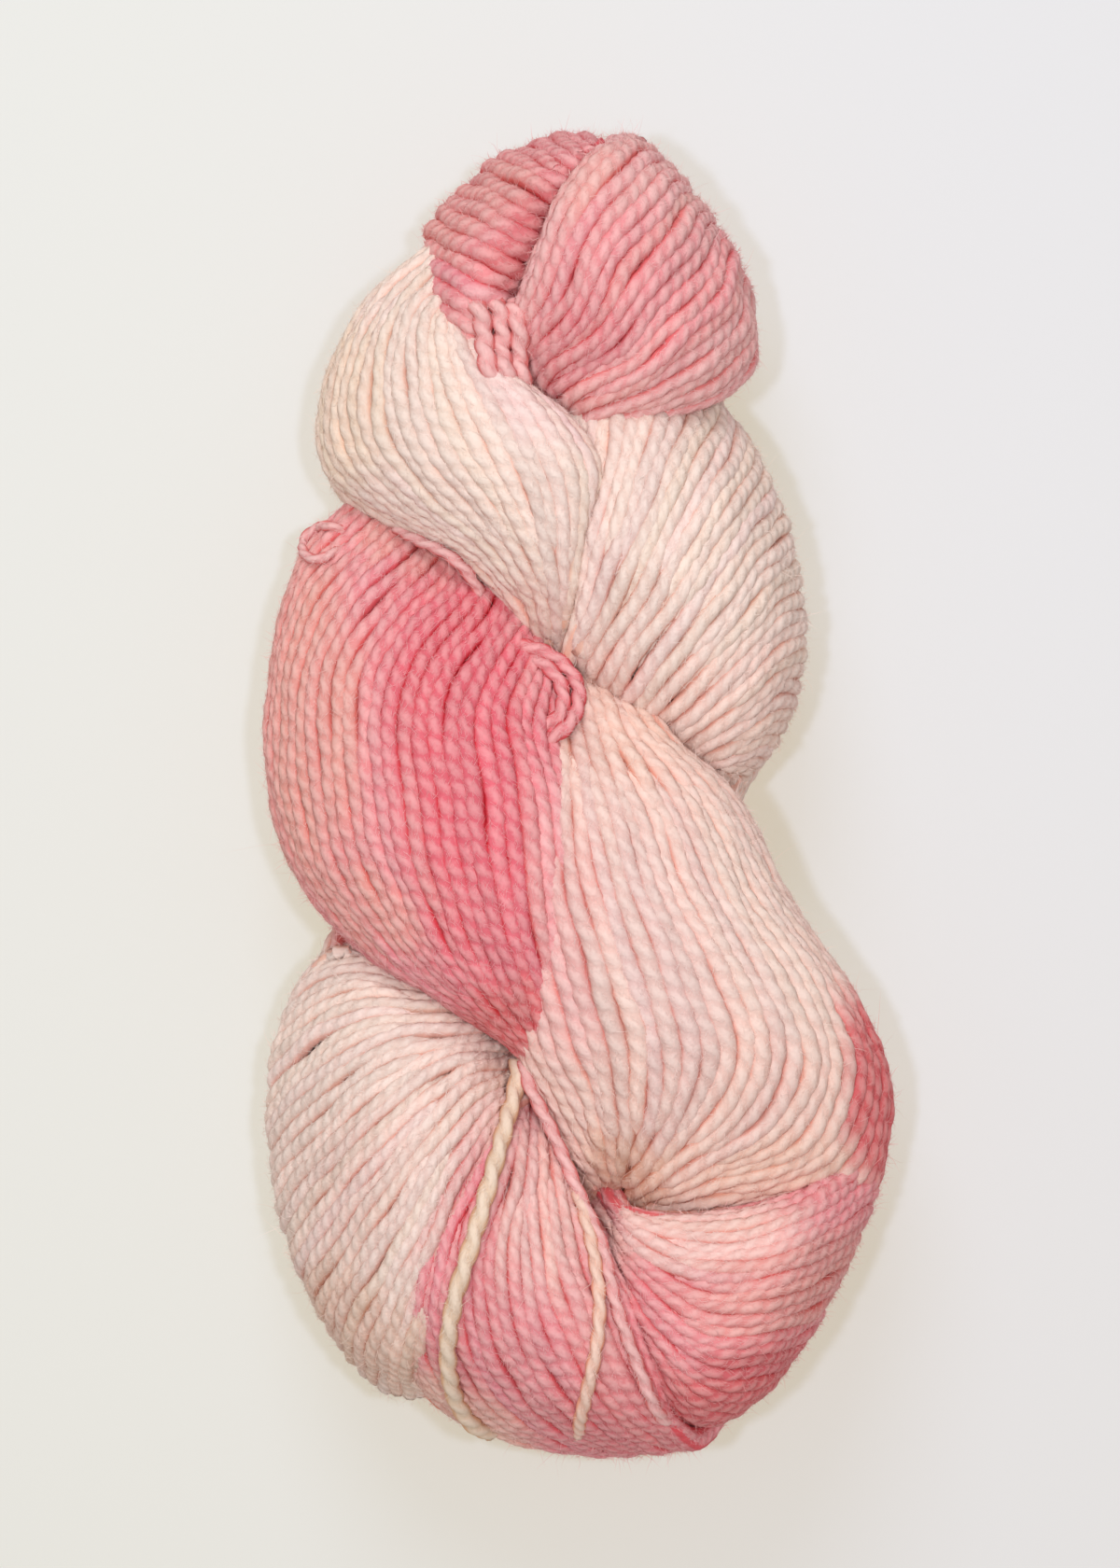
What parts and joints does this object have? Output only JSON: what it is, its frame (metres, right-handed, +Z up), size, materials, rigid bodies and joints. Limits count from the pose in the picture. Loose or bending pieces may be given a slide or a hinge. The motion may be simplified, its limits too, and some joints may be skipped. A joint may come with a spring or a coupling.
{
  "type": "hank of yarn",
  "caption": "Hank of soft hand-dyed plied yarn: a coil of strands twisted tightly, folded back on itself like a rope and tucked through its own looped end.",
  "frame": {"origin": "middle of the hank's outline as seen from above, on the surface it rests on", "axes": "+Y along the hank from its wide foot to its tucked loop, +Z up through its thickness, +X to the right when the loop points away"},
  "size_m": [0.1046, 0.2236, 0.06],
  "materials": {
    "yarn": "soft, matte and slightly fuzzy"
  },
  "bodies": {
    "root": {"hank": "yarn"}
  },
  "joints": []
}
